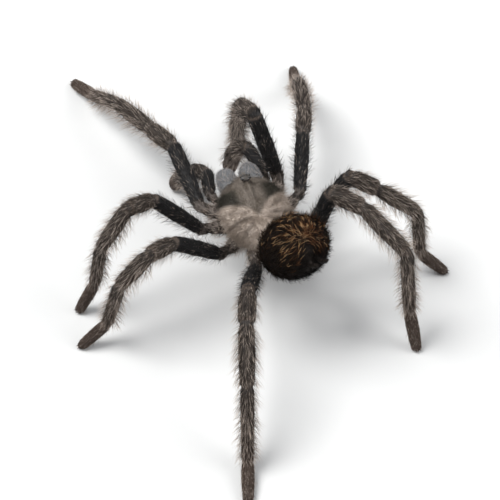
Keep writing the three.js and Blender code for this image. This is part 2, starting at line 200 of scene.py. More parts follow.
def survey(points, names=None):
    """What each point of a surface lies on: its kind and limb, how far along it is, and its coat's lie."""
    found = SimpleNamespace(
        kind=np.full(len(points), KINDS.index("body")),
        limb=np.full(len(points), -1),
        segment=np.zeros(len(points), int),
        share=np.zeros(len(points)),
        run=np.zeros(len(points)),
        along=points[:, 1].copy(),
        beside=points[:, [0, 2]].copy(),
        joint=np.full(len(points), NO_JOINT),
        way=np.tile([0.0, 1.0, -0.4], (len(points), 1)),
    )
    tree, owner = owners()
    names = np.array(names or [owner[tree.find_nearest(Vector(point))[2]] for point in points])
    for word in ("abdomen", "spinneret", "chelicera"):
        found.kind[np.char.startswith(names, word)] = KINDS.index(word)
    reach = np.full(len(points), COXA_REACH)
    for number, limb in enumerate(LIMBS):
        for segment in range(len(limb.segments)):
            node = limb.nodes[segment - 1] if segment else "sternum_coxae"
            on = np.flatnonzero(names == node)
            own_way = limb.ways[segment]
            offset = points[on] - limb.joints[segment]
            run = offset @ own_way
            if not segment:
                beside = offset - np.clip(run, 0, limb.lengths[0])[:, None] * limb.ways[0]
                away = np.linalg.norm(beside, axis=1)
                nearer = away < reach[on]
                on, offset, run, away = on[nearer], offset[nearer], run[nearer], away[nearer]
                reach[on] = away
            share = np.clip(run / limb.lengths[segment], 0, 1)
            found.kind[on] = KINDS.index(limb.segments[segment])
            found.limb[on] = number
            found.segment[on] = segment
            found.share[on] = share
            found.run[on] = run
            found.along[on] = limb.starts[segment] + run
            level = unit(np.cross(own_way, [0, 0, 1.0]))
            upright = np.cross(level, own_way)
            found.beside[on] = np.stack([offset @ level, offset @ upright], axis=1)
            # The distance to the nearest joint, below zero on the body's side of it.
            ahead = run - limb.lengths[segment]
            if segment == 0:
                found.joint[on] = ahead
            elif segment == len(limb.segments) - 1:
                found.joint[on] = run
            else:
                found.joint[on] = np.where(run < -ahead, run, ahead)
            before = limb.ways[max(segment - 1, 0)]
            after = limb.ways[min(segment + 1, len(limb.ways) - 1)]
            early = 0.5 - 0.5 * smoothstep(0, TURNING, share)[:, None]
            late = 0.5 * smoothstep(1 - TURNING, 1, share)[:, None]
            mixed = (1 - early - late) * own_way + early * before + late * after
            found.way[on] = unit(mixed)
    return found


# Meshes to and from arrays.


def read(mesh):
    """A mesh's places in millimetres, its normals, its triangles and its edges."""
    places = np.empty(len(mesh.vertices) * 3, np.float32)
    mesh.vertices.foreach_get("co", places)
    normals = np.empty_like(places)
    mesh.vertex_normals.foreach_get("vector", normals)
    mesh.calc_loop_triangles()
    triangles = np.empty(len(mesh.loop_triangles) * 3, np.int32)
    mesh.loop_triangles.foreach_get("vertices", triangles)
    edges = np.empty(len(mesh.edges) * 2, np.int32)
    mesh.edges.foreach_get("vertices", edges)
    return SimpleNamespace(
        places=places.reshape(-1, 3).astype(float) / MM,
        normals=normals.reshape(-1, 3).astype(float),
        triangles=triangles.reshape(-1, 3),
        edges=edges.reshape(-1, 2),
    )


def write(mesh, places):
    mesh.vertices.foreach_set("co", (places * MM).astype(np.float32).ravel())
    mesh.update()


def note(mesh, marks):
    """Stores numbers or vectors on the vertices, under their names, for the materials to read."""
    for name, values in marks.items():
        values = np.asarray(values, np.float32)
        kind, field = ("FLOAT", "value") if values.ndim == 1 else ("FLOAT_VECTOR", "vector")
        mesh.attributes.new(name, kind, "POINT").data.foreach_set(field, values.ravel())


def averaged(values, edges, rounds, share=0.5):
    """Values on the vertices, each drawn towards the mean of its neighbours."""
    values = np.array(values, float)
    flat = values.reshape(len(values), -1)
    count = np.bincount(edges.ravel(), minlength=len(flat)).clip(1)
    for _ in range(rounds):
        for column in range(flat.shape[1]):
            total = np.bincount(edges[:, 0], flat[edges[:, 1], column], len(flat))
            total += np.bincount(edges[:, 1], flat[edges[:, 0], column], len(flat))
            flat[:, column] += share * (total / count - flat[:, column])
    return flat.reshape(values.shape)


def added(name, data):
    """A new object in the scene."""
    made = bpy.data.objects.new(name, data)
    bpy.context.scene.collection.objects.link(made)
    return made


def piece(name, form, material):
    """A finished mesh piece from a bmesh."""
    mesh = bpy.data.meshes.new(name)
    form.to_mesh(mesh)
    form.free()
    mesh.materials.append(material)
    return added(name, mesh)


def settle(made, slot, *nodes):
    """Puts a piece on the model and hides the nodes that it stands for. The slot is not used."""
    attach(made, "root")
    if nodes:
        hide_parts(*nodes)


def rounded(mesh):
    """Shades a mesh smooth."""
    mesh.polygons.foreach_set("use_smooth", np.ones(len(mesh.polygons), bool))


def remeshed(made, fineness):
    """Makes one even closed surface round all that the piece holds, smooths it, and reads it."""
    voxel, rounds = fineness
    even = made.modifiers.new("even", "REMESH")
    even.mode = "VOXEL"
    even.voxel_size = voxel * MM
    graph = bpy.context.evaluated_depsgraph_get()
    mesh = bpy.data.meshes.new_from_object(made.evaluated_get(graph))
    made.modifiers.clear()
    made.data = mesh
    rounded(mesh)
    surface = read(mesh)
    write(mesh, averaged(surface.places, surface.edges, rounds))
    return read(mesh)


def sunk(made, surface, depth):
    """Moves a piece's surface inwards, to leave room for its coat, and reads it again."""
    write(made.data, surface.places - depth * surface.normals)
    return read(made.data)


def of_nodes(names, stretch=1.0):
    """The nodes' own forms in one bmesh, each stretched about its middle."""
    form = bmesh.new()
    for name in names:
        start = len(form.verts)
        form.from_mesh(NODES[name].data)
        form.verts.ensure_lookup_table()
        middle = sum(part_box(name), Vector()) / 2
        turn = Matrix.Translation(middle) @ Matrix.Scale(stretch, 4) @ Matrix.Translation(-middle)
        bmesh.ops.transform(form, matrix=turn, verts=form.verts[start:])
    bmesh.ops.remove_doubles(form, verts=form.verts, dist=0.002 * MM)
    return form


def plug(form, limb, share=0.9, depth=1.1):
    """Fills the gaps at a limb's joints with short rods, a little thinner than the limb."""
    for number, radius in enumerate(limb.radii):
        way = Vector(limb.ways[number] + limb.ways[number + 1])
        place = Matrix.Translation(Vector(limb.joints[number + 1]) * MM)
        bmesh.ops.create_cone(
            form,
            cap_ends=True,
            segments=12,
            radius1=radius * share * MM,
            radius2=radius * share * MM,
            depth=depth * MM,
            matrix=place @ way.to_track_quat("Z", "Y").to_matrix().to_4x4(),
        )


# The lie of the coat on each form, from the middle lines above and from the body's own shape.


def abdomen_axes():
    """The abdomen's front pole, its length, and its directions back, to its right and up."""
    corners = corners_of("abdomen")
    apart = np.linalg.norm(corners[:, None] - corners[None], axis=2)
    front, rear = (corners[i] for i in np.unravel_index(apart.argmax(), apart.shape))
    if np.linalg.norm(front - BODY_MIDDLE) > np.linalg.norm(rear - BODY_MIDDLE):
        front, rear = rear, front
    back = unit(rear - front)
    right = unit(np.cross([0, 0, 1], back))
    return front, np.linalg.norm(rear - front), back, right, np.cross(back, right)


FRONT_POLE, ABDOMEN_LENGTH, BACK, RIGHT, UP = abdomen_axes()
# The whorl, where the tips of the long hairs meet, is high on the rear and a little to the right.
WHORL_SHARE = 0.88  # of the way back
WHORL_UP = 4.3
WHORL_RIGHT = 0.35
WHORL = FRONT_POLE + WHORL_SHARE * ABDOMEN_LENGTH * BACK + WHORL_UP * UP + WHORL_RIGHT * RIGHT
FURROW_LEAN = 0.28  # how far right the furrow goes for each millimetre up
FURROW_LEFT = 0.75  # how far left it is halfway up
FURROW_TOP = 4.2


def abdomen_places(points):
    """Places in the abdomen's own directions: back from the front pole, to the right, and up."""
    offset = points - FRONT_POLE
    return np.stack([offset @ BACK, offset @ RIGHT, offset @ UP], axis=1)


def furrow_middle(up):
    """How far to the right the line down the abdomen's rear lies, from how high it is there."""
    return FURROW_LEAN * up - FURROW_LEFT


def shaded_furrow(points):
    """The bare line from the whorl down the abdomen's rear, which the coat paints dark as shade: 1 along it,
    falling to 0 beside it.
    """
    back, right, up = abdomen_places(points).T
    below = smoothstep(FURROW_TOP, FURROW_TOP - 1, up) * smoothstep(0.6, 0.8, back / ABDOMEN_LENGTH)
    width = 0.4 + 0.27 * np.clip(3.9 - up, 0, 6)  # wider the lower it gets
    return below * bell(right - furrow_middle(up), width, 4)


low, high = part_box("carapace")
PLATE_MIDDLE = np.array((low + high) / 2) / MM
PLATE_HALF = np.array((high - low) / 2) / MM
PLATE_RIM = low[2] / MM
FOVEA_Y = 2.1  # behind the carapace's middle
# The pressed lines: each one's bearing from straight ahead, in degrees, and how strong it is.
PLATE_LINES = ((40, 0.6), (66, 0.5), (95, 1.0), (128, 0.6))
# The caput's rear edge: how far behind the carapace's middle it lies, at these distances from the middle
# line.
CAPUT_X = (0, 0.8, 1.8, 5.3, 7.0)
CAPUT_Y = (2.0, 1.2, -0.5, -2.5, -3.5)


def plate_places(points):
    """How far to the side of the carapace's middle each place lies, and how far behind it."""
    return (points[:, :2] - PLATE_MIDDLE[:2]).T


def plate_grooves(points):
    """The depth of the carapace's pressed lines, four pairs that radiate from the fovea."""
    x, y = plate_places(points)
    y = y - FOVEA_Y
    bearing = np.degrees(np.arctan2(np.abs(x), -y))
    out = np.hypot(x, y)
    depth = np.zeros(len(points))
    for line, strength in PLATE_LINES:
        beside = np.radians(bearing - line) * out
        depth += strength * bell(beside, 0.5) * smoothstep(1.0, 2.6, out)
    return depth * smoothstep(8.2, 5.6, out)


# Materials.


class Value:
    """A number that a material's nodes give, which Python's own arithmetic works on."""

    def __init__(self, shop, socket):
        self.shop = shop
        self.socket = socket

    def __add__(self, other):
        return self.shop.maths("ADD", self, other)

    __radd__ = __add__

    def __sub__(self, other):
        return self.shop.maths("SUBTRACT", self, other)

    def __rsub__(self, other):
        return self.shop.maths("SUBTRACT", other, self)

    def __mul__(self, other):
        return self.shop.maths("MULTIPLY", self, other)

    __rmul__ = __mul__


class Shop:
    """One material and its nodes."""

    def __init__(self, name, shader=None):
        self.material = bpy.data.materials.new(name)
        self.material.use_nodes = True
        self.tree = self.material.node_tree
        self.shader = self.tree.nodes["Principled BSDF"]
        for socket, value in (shader or {}).items():
            self.shader.inputs[socket].default_value = value

    def node(self, kind, settings=None, sockets=None, out=0):
        """Adds a node: its settings first, then the values or links of its sockets."""
        made = self.tree.nodes.new(kind)
        for name, value in (settings or {}).items():
            if name == "stops":
                self.stops(made.color_ramp, value)
            else:
                setattr(made, name, value)
        for name, value in (sockets or {}).items():
            self.feed(made.inputs[name], value)
        return Value(self, made.outputs[out])

    def stops(self, ramp, values):
        """Sets a ramp's places and colours."""
        while len(ramp.elements) < len(values):
            ramp.elements.new(0.5)
        for element, (place, colour) in zip(ramp.elements, values):
            element.position = place
            element.color = (*colour, 1)

    def feed(self, socket, value):
        """Links a socket, or sets it to a number or a colour."""
        if isinstance(value, Value):
            self.tree.links.new(value.socket, socket)
        elif isinstance(value, tuple) and len(value) == 3 and socket.type == "RGBA":
            socket.default_value = (*value, 1)
        else:
            socket.default_value = value

    def maths(self, operation, first, second):
        return self.node("ShaderNodeMath", {"operation": operation}, {0: first, 1: second})

    def mix(self, share, first, second, how="MIX"):
        """A colour between two, or one colour worked on by another."""
        settings = {"data_type": "RGBA", "blend_type": how, "clamp_factor": True}
        return self.node("ShaderNodeMix", settings, {0: share, 6: first, 7: second}, out=2)

    def scan(self, name, out="Fac"):
        """What a piece's vertices hold under a name."""
        return self.node("ShaderNodeAttribute", {"attribute_name": name}, out=out)

    def places(self):
        return self.node("ShaderNodeTexCoord", out="Object")

    def noise(self, where, scale, detail=3.0, roughness=0.55):
        sockets = {"Vector": where, "Scale": scale, "Detail": detail, "Roughness": roughness}
        return self.node("ShaderNodeTexNoise", None, sockets)

    def ramp(self, value, *stops):
        return self.node("ShaderNodeValToRGB", {"stops": stops}, {"Fac": value})

    def span(self, value, low, high):
        """0 up to low and 1 from high on."""
        settings = {"interpolation_type": "SMOOTHSTEP"}
        sockets = {"Value": value, "From Min": low, "From Max": high}
        return self.node("ShaderNodeMapRange", settings, sockets)

    def bump(self, height, distance):
        sockets = {"Height": height, "Distance": distance * MM}
        self.feed(self.shader.inputs["Normal"], self.node("ShaderNodeBump", None, sockets))

    def paint(self, colour, roughness=None):
        self.feed(self.shader.inputs["Base Color"], colour)
        if roughness is not None:
            self.feed(self.shader.inputs["Roughness"], roughness)
        return self.material


# Colours, as a lamp of plain white would show them.
DEEP_BROWN = (0.03, 0.022, 0.017)
GREY_BROWN = (0.1, 0.079, 0.064)
PALE_BROWN = (0.52, 0.43, 0.36)
NEAR_BLACK = (0.017, 0.016, 0.016)
SOOT = (0.006, 0.0045, 0.004)
FOOT_BROWN = (0.092, 0.062, 0.047)
JOINT_PINK = (0.34, 0.255, 0.20)
COXA_GREY = (0.19, 0.162, 0.143)
SHELL_TAN = (0.28, 0.225, 0.18)
SHELL_PALE = (0.50, 0.42, 0.355)
SHELL_BROWN = (0.115, 0.094, 0.073)
SHELL_TAUPE = (0.18, 0.152, 0.126)
SHELL_DEEP = (0.085, 0.064, 0.048)
SHELL_OLIVE = (0.03, 0.026, 0.018)
BLUE_GREY = (0.225, 0.233, 0.245)
HORN_BLACK = (0.006, 0.004, 0.004)
HORN_RED = (0.05, 0.014, 0.008)
EYE_BLACK = (0.004, 0.004, 0.005)
EYE_BROWN = (0.02, 0.016, 0.013)
MOUND_DARK = (0.02, 0.017, 0.014)
MOUND_BROWN = (0.05, 0.041, 0.033)


def limb_colours(shop):
    """The markings of the limbs and body, the same on skin and coat: dark femora, brown feet, pale rims."""
    blotch = shop.noise(shop.places(), 750.0)
    streak = shop.noise(shop.scan("flow", "Vector"), 1.0, 4.0, 0.6)
    colour = shop.mix(shop.span(streak, 0.38, 0.64), DEEP_BROWN, GREY_BROWN)
    colour = shop.mix(shop.scan("foot") * 0.8, colour, FOOT_BROWN)
    colour = shop.mix(shop.scan("dark"), colour, NEAR_BLACK)
    mottled = shop.mix(shop.span(blotch, 0.42, 0.62), DEEP_BROWN, COXA_GREY)
    colour = shop.mix(shop.scan("coxal"), colour, mottled)
    colour = shop.mix(shop.scan("pale"), colour, JOINT_PINK)
    return shop.mix(shop.scan("blue"), colour, BLUE_GREY)


def limb_skin_material():
    shop = Shop("limb skin", {"Specular IOR Level": 0.35})
    streaks = shop.noise(shop.scan("flow", "Vector"), 2.0, 4.0, 0.6)
    colour = shop.mix(1.0, limb_colours(shop), (0.7, 0.68, 0.66), "MULTIPLY")
    shop.bump(streaks, 0.12)
    return shop.paint(colour, 0.62 - 0.15 * streaks)


def coat_colour(shop, colour, root=0.42, tip=1.5):
    """A tuft's colour from its root to its tip, each tuft a little lighter or darker than the next."""
    shade = shop.scan("tone") * (root + (tip - root) * shop.scan("tip"))
    grey = shop.node("ShaderNodeCombineColor", None, {0: shade, 1: shade, 2: shade})
    return shop.mix(1.0, colour, grey, "MULTIPLY")


def limb_coat_material():
    shop = Shop("limb coat", {"Roughness": 0.5, "Specular IOR Level": 0.3})
    colour = limb_colours(shop)
    light = shop.scan("light") * shop.span(shop.scan("tip"), 0.05, 0.7)
    colour = shop.mix(light, colour, PALE_BROWN)
    return shop.paint(coat_colour(shop, colour))


def abdomen_coat_material():
    """Hairs that are black at the root, with brown, rusty or golden ends."""
    shop = Shop("abdomen coat", {"Roughness": 0.6, "Specular IOR Level": 0.06})
    tip = shop.scan("tip")
    brown = shop.ramp(tip, (0.0, SOOT), (0.55, (0.016, 0.010, 0.006)), (1.0, (0.048, 0.029, 0.018)))
    rust = shop.ramp(tip, (0.0, SOOT), (0.5, (0.08, 0.028, 0.010)), (1.0, (0.36, 0.16, 0.07)))
    gold = shop.ramp(
        tip,
        (0.0, SOOT),
        (0.35, (0.14, 0.07, 0.028)),
        (0.65, (0.85, 0.5, 0.24)),
        (1.0, (1.0, 0.8, 0.52)),
    )
    colour = shop.mix(shop.scan("rust"), brown, rust)
    colour = shop.mix(shop.scan("gold"), colour, gold)
    # The dark mark: the underfur's own near black, and painted shade along the furrow and over the lower
    # abdomen.
    colour = shop.mix(shop.scan("dark"), colour, SOOT)
    return shop.paint(coat_colour(shop, colour, 0.9, 1.1))


def shell_colours(shop):
    """The carapace's markings, the same on shell and felt: pale behind, with a brown caput, olive beside."""
    where = shop.places()
    cloud = shop.noise(where, 330.0, 4.0)
    streak = shop.noise(shop.scan("rays", "Vector"), 1.0, 3.0)
    colour = shop.mix(shop.span(cloud, 0.38, 0.6), SHELL_TAN, SHELL_PALE)
    colour = shop.mix(shop.span(streak, 0.5, 0.75) * 0.4, colour, SHELL_BROWN)
    colour = shop.mix(shop.scan("groove") * 0.6, colour, SHELL_DEEP)
    head = shop.mix(shop.span(cloud, 0.4, 0.62), SHELL_BROWN, SHELL_TAUPE)
    colour = shop.mix(shop.scan("caput"), colour, head)
    return shop.mix(shop.scan("olive"), colour, SHELL_OLIVE)


def shell_material():
    shop = Shop("carapace shell", {"Specular IOR Level": 0.4})
    fine = shop.noise(shop.places(), 2600.0, 3.0)
    shop.bump(fine, 0.06)
    return shop.paint(shell_colours(shop), 0.5 + 0.2 * fine)


def felt_material():
    shop = Shop("carapace felt", {"Roughness": 0.55, "Specular IOR Level": 0.2})
    return shop.paint(coat_colour(shop, shell_colours(shop), 0.7, 1.2))


def dark_skin_material():
    shop = Shop("abdomen skin", {"Specular IOR Level": 0.15})
    grain = shop.noise(shop.places(), 1500.0)
    shop.bump(grain, 0.1)
    return shop.paint(shop.mix(grain, SOOT, (0.016, 0.011, 0.008)), 0.55 + 0.2 * grain)


def horn_material(name, deep, edge, roughness):
    """A hard glossy surface, darker in some places than in others."""
    shop = Shop(name, {"Coat Weight": 0.4, "Coat Roughness": 0.08})
    cloud = shop.noise(shop.places(), 900.0)
    return shop.paint(shop.mix(cloud, deep, edge), roughness + 0.12 * cloud)


LIMB_SKIN = limb_skin_material()
LIMB_COAT = limb_coat_material()
ABDOMEN_SKIN = dark_skin_material()
ABDOMEN_COAT = abdomen_coat_material()
SHELL = shell_material()
FELT = felt_material()
FANG_HORN = horn_material("fang horn", HORN_BLACK, HORN_RED, roughness=0.16)
EYE_GLASS = horn_material("eye", EYE_BLACK, EYE_BROWN, roughness=0.05)
MOUND = horn_material("eye mound", MOUND_DARK, MOUND_BROWN, roughness=0.5)


# Tufts.


def tuft_form(rings, sides=3):
    """One tuft standing on the origin, a unit tall and a unit across, with rings to bend at."""
    form = bmesh.new()
    bmesh.ops.create_cone(form, cap_ends=True, segments=sides, radius1=0.5, radius2=0, depth=1)
    bmesh.ops.translate(form, verts=form.verts, vec=(0, 0, 0.5))
    bmesh.ops.remove_doubles(form, verts=form.verts, dist=1e-5)
    for ring in range(1, rings + 1):
        cut = {"geom": [*form.verts, *form.edges, *form.faces], "dist": 1e-6, "plane_no": (0, 0, 1)}
        bmesh.ops.bisect_plane(form, plane_co=(0, 0, ring / (rings + 1)), **cut)
    bmesh.ops.triangulate(form, faces=form.faces)
    bmesh.ops.recalc_face_normals(form, faces=form.faces)
    form.verts.ensure_lookup_table()
    places = np.array([vert.co for vert in form.verts])
    # A tuft keeps its width to past its middle, and then runs out to a point.
    height = places[:, 2]
    full = np.where(height > 0.999, 0, (0.75 + 0.25 * np.sin(math.pi * height)) * (1 - height**3))
    across = np.maximum(np.linalg.norm(places[:, :2], axis=1), 1e-9)
    places[:, :2] *= (0.5 * full / across)[:, None]
    faces = np.array([[vert.index for vert in face.verts] for face in form.faces])
    form.free()
    return places, faces


SHORT_TUFT = tuft_form(1)
LONG_TUFT = tuft_form(3)


def sown(surface, density, seed):
    """Roots scattered over a surface, as many on each square millimetre as the density says."""
    rng = np.random.default_rng(seed)
    a, b, c = (surface.places[surface.triangles[:, i]] for i in range(3))
    area = np.linalg.norm(np.cross(b - a, c - a), axis=1) / 2
    expected = area * density[surface.triangles].mean(1)
    triangle = np.repeat(np.arange(len(area)), np.floor(expected + rng.random(len(area))).astype(int))
    first, second = rng.random((2, len(triangle)))
    over = first + second > 1
    first[over], second[over] = 1 - first[over], 1 - second[over]
    shares = np.stack([1 - first - second, first, second], axis=1)
    return surface.triangles[triangle], shares


def at_roots(values, roots):
    """Values on the vertices, taken at the roots."""
    corners, shares = roots
    picked = values[corners]
    return (picked * shares.reshape(shares.shape + (1,) * (picked.ndim - 2))).sum(1)


def tufts(name, material, form, roots, unwrap, marks):
    """One mesh of many tufts.

    Each root has a place, a normal, a way to lie, a length, a width, a lift, a bend and a curl.
    """
    shape, faces = form
    count, corners = len(roots.places), len(shape)
    normal = unit(roots.normals)
    way = unit(roots.ways - (roots.ways * normal).sum(1, keepdims=True) * normal)
    side = np.cross(way, normal)
    height = shape[None, :, 2:3]
    # A tuft rises at its lift and leans over towards the skin as it goes.
    rise = np.radians(roots.lifts)[:, None, None] - np.radians(roots.bends)[:, None, None] * height / 2
    length = roots.lengths[:, None, None]
    middle = length * height * (np.cos(rise) * way[:, None] + np.sin(rise) * normal[:, None])
    middle = middle + roots.curls[:, None, None] * length * height**2 * side[:, None]
    across = np.cos(rise) * normal[:, None] - np.sin(rise) * way[:, None]
    width = roots.widths[:, None, None]
    body = width * (shape[None, :, 0:1] * side[:, None] + shape[None, :, 1:2] * across)
    places = roots.places[:, None] + middle + body
    # No hair reaches through the floor: its root stays 0.02 mm over it, and its tip 0.05.
    places[..., 2] = np.maximum(places[..., 2], 0.02 + 0.03 * height[..., 0])
    index = faces[None] + corners * np.arange(count)[:, None, None]
    mesh = bpy.data.meshes.new(name)
    mesh.vertices.add(count * corners)
    mesh.loops.add(index.size)
    mesh.polygons.add(index.size // 3)
    mesh.loops.foreach_set("vertex_index", index.astype(np.int32).ravel())
    mesh.polygons.foreach_set("loop_start", np.arange(0, index.size, 3, dtype=np.int32))
    write(mesh, places.reshape(-1, 3))
    mesh.update(calc_edges=True)
    tip = np.broadcast_to(height[..., 0], (count, corners))
    spread = {mark: np.repeat(values, corners, axis=0) for mark, values in marks.items()}
    note(mesh, {"tip": tip.ravel(), **spread})
    # Each tuft is a small patch of the bake's map, at its root's place on the skin's own unwrap.
    local = np.stack([shape[faces][..., 0] + 0.5, shape[faces][..., 2]], axis=-1)
    patch = np.clip(unwrap, 0, 1)[:, None, None] * (1 - TUFT_PATCH) + TUFT_PATCH * local[None]
    layer = mesh.uv_layers.new(name="OFBake")
    layer.uv.foreach_set("vector", patch.astype(np.float32).ravel())
    mesh.materials.append(material)
    return added(name, mesh)


# Where the random numbers of each coat start.
SEEDS = {
    "coat_underside": 41,
    "underfur_abdomen": 51,
    "hairs_abdomen": 61,
    "felt_carapace": 71,
    "fringe_carapace": 81,
    "coat_chelicera_left": 91,
    "coat_chelicera_right": 95,
}
for seed, limbs in ((100, LEGS), (200, PALPS)):
    for number, limb in enumerate(limbs):
        SEEDS[f"coat_{limb.name}"] = seed + 7 * number
        SEEDS[f"hairs_{limb.name}"] = seed + 7 * number + 500


def grown(name, slot, material, form, surface, density, sizes, varied=0.28, chances=("light",)):
    """Sows a surface, grows a tuft on every root, and puts the coat on the model.

    Sizes are the length, width, lift, bend and curl, each one even or given at the vertices. Lengths differ
    by the varied share. A mark among the chances isn't even: it says what share of the tufts there take it.
    """
    roots = sown(surface, density, SEEDS[name])
    rng = np.random.default_rng(SEEDS[name] + 1)
    count = len(roots[0])
    length, width, lift, bend, curl = (
        at_roots(np.broadcast_to(size, len(surface.places)).astype(float), roots) for size in sizes
    )
    planted = SimpleNamespace(
        places=at_roots(surface.places, roots),
        normals=at_roots(surface.normals, roots),
        ways=at_roots(surface.ways, roots) + rng.normal(0, 0.16, (count, 3)),
        lengths=length * (1 + varied * rng.uniform(-1, 1, count)),
        widths=width * (1 + 0.2 * rng.uniform(-1, 1, count)),
        lifts=lift * (1 + 0.3 * rng.uniform(-1, 1, count)),
        bends=bend * (1 + 0.4 * rng.uniform(-1, 1, count)),
        curls=curl + rng.normal(0, 0.1, count),
    )
    held = {mark: at_roots(values, roots) for mark, values in surface.marks.items()}
    held["tone"] = rng.uniform(0.76, 1.24, count)
    for mark in chances:
        if mark in held:
            held[mark] = (rng.random(count) < held[mark]) * rng.uniform(0.5, 1, count)
    settle(tufts(name, material, form, planted, at_roots(surface.unwrap, roots), held), slot)


# The skin.


def is_kind(found, *kinds):
    return np.isin(found.kind, [KINDS.index(kind) for kind in kinds])


def marks_of(found, normals):
    """The markings at each place: dark femora, brown feet, mottled coxae and pale rims."""
    jointed = (found.limb >= 0) * (found.segment > 0)
    dark_femur = is_kind(found, "femur") * smoothstep(TROCHANTER - 0.6, TROCHANTER + 0.3, found.run)
    faded = 0.7 + 0.3 * smoothstep(0.1, 0.9, np.abs(found.joint))
    crease = 0.85 * bell(found.joint - 0.12, 0.22) * jointed
    rim = bell(found.joint + 0.34, 0.17) * jointed
    body = 0.75 * is_kind(found, "body")
    spinneret = 0.95 * is_kind(found, "spinneret")
    return {
        "dark": np.maximum.reduce([dark_femur * faded, crease, body, spinneret]),
        "foot": is_kind(found, "tarsus") * 1.0 + 0.8 * is_kind(found, "metatarsus") * found.share,
        "pale": 0.6 * rim * smoothstep(-0.3, 0.3, normals[:, 2]),
        "coxal": is_kind(found, "coxa", "femur") - dark_femur,
        "blue": is_kind(found, "chelicera") * 1.0,
    }


def flow_of(found):
    """Coordinates that run fast across the lie of the coat and slowly along it, so noise makes streaks."""
    return np.column_stack([found.beside * 3.0, found.along * 0.42])


def relief(found):
    """How far the skin is raised or sunk: a low rim before each joint, and a narrow groove at it."""
    groove = -0.22 * bell(found.joint, 0.34)
    rim = 0.06 * bell(found.joint + 0.7, 0.4)
    ring = -0.2 * is_kind(found, "femur") * bell(found.run - TROCHANTER, 0.35)
    return np.where(found.limb >= 0, groove + rim + ring, 0)


def skinned(made, fineness):
    """Turns a piece's rough forms into smooth skin that lies inside them by the depth of the coat."""
    surface = remeshed(made, fineness)
    found = survey(surface.places)
    deep = np.array([DEPTH[kind] for kind in KINDS])[found.kind] - SMOOTHING_LOSS
    deep = averaged(deep - relief(found), surface.edges, 3)
    inside = surface.places - deep[:, None] * surface.normals
    write(made.data, averaged(inside, surface.edges, 2))
    surface = read(made.data)
    surface.found = found
    surface.ways = averaged(found.way, surface.edges, 4)
    marks = marks_of(found, surface.normals)
    surface.marks = {name: averaged(values, surface.edges, 2) for name, values in marks.items()}
    surface.marks["flow"] = flow_of(found)
    note(made.data, surface.marks)
    return surface


def body_skin():
    """One skin over the body and all eight legs."""
    nodes = ["sternum_coxae", "abdomen", *(node for leg in LEGS for node in leg.nodes)]
    small = ["pedicel", "spinneret_left", "spinneret_right"]
    form = of_nodes(nodes)
    for name in small:
        form.from_mesh(NODES[name].data)
    for leg in LEGS:
        plug(form, leg)
    # The waist and the spinnerets are there a second time, stretched to reach what they touch.
    joined = of_nodes(small, stretch=1.2)
    extra = bpy.data.meshes.new("joined")
    joined.to_mesh(extra)
    joined.free()
    form.from_mesh(extra)
    bpy.data.meshes.remove(extra)
    made = piece("skin", form, LIMB_SKIN)
    surface = skinned(made, BODY_MESH)
    made.data.materials.append(ABDOMEN_SKIN)
    rear = is_kind(surface.found, "abdomen", "spinneret")
    first = np.array([face.vertices[0] for face in made.data.polygons])
    made.data.polygons.foreach_set("material_index", rear[first].astype(np.int32))
    settle(made, "legs", *small, *nodes)
    return surface


def palp_skin(limb):
    form = of_nodes(limb.nodes)
    plug(form, limb)
    made = piece(f"{limb.name}_skin", form, LIMB_SKIN)
    surface = skinned(made, PALP_MESH)
    settle(made, "legs", *limb.nodes)
    return surface


def part_of(surface, chosen, **changes):
    """The same surface, changed as given, with only the triangles whose corners are all chosen."""
    kept = surface.triangles[chosen[surface.triangles].all(1)]
    return SimpleNamespace(**{**vars(surface), "triangles": kept, **changes})


def by_kind(found, table, column):
    """A table's numbers, at each place the one for what lies there."""
    return np.array([table.get(kind, ABSENT)[column] for kind in KINDS], float)[found.kind]


def limb_unwrap(found, length):
    """An unwrap of a limb's own shape: round it one way, and along it the other."""
    turn = np.arctan2(found.beside[:, 0], found.beside[:, 1])
    return np.stack([turn / math.tau + 0.5, found.along / length], axis=1)


def bare_lines(found):
    """Two thin lines without hair along the top of each patella and tibia."""
    turn = np.degrees(np.arctan2(found.beside[:, 0], found.beside[:, 1]))
    striped = is_kind(found, "patella", "tibia")
    inside = smoothstep(0.04, 0.2, found.share) * smoothstep(0.96, 0.8, found.share)
    return striped * inside * bell(np.abs(turn) - 24, 7)


def limb_coat(limb, surface):
    """The close coat and the long hairs of one limb."""
    found = surface.found
    bare = np.clip(bell(found.joint, 0.24) + 0.7 * bare_lines(found), 0, 1) * (found.segment > 0)
    shorter = 1 - 0.4 * bell(found.joint + 0.5, 0.8)
    under = smoothstep(0.25, -0.5, surface.normals[:, 2])
    chosen = part_of(surface, found.limb == LIMBS.index(limb), unwrap=limb_unwrap(found, limb.starts[-1]))
    chosen.marks = {**surface.marks, "light": by_kind(found, PALE_SHARE, 0)}
    density, length, width, lift = (by_kind(found, CLOSE_COAT, column) for column in range(4))
    density = density * (1 - bare)
    sizes = (length * shorter, width, lift, CLOSE_BEND, 0)
    grown(f"coat_{limb.name}", "legs", LIMB_COAT, SHORT_TUFT, chosen, density, sizes)
    chosen.marks = {**surface.marks, "light": by_kind(found, PALE_SHARE, 1)}
    density, length, width, lift = (by_kind(found, LONG_HAIRS, column) for column in range(4))
    density = density * (1 - bare) * (0.95 + 0.35 * under)
    length = length * (0.9 + 0.2 * under) * shorter
    lift = lift * (0.95 + 0.2 * under)
    sizes = (length, width, lift, LONG_BEND, 0)
    grown(f"hairs_{limb.name}", "legs", LIMB_COAT, LONG_TUFT, chosen, density, sizes, varied=0.4)


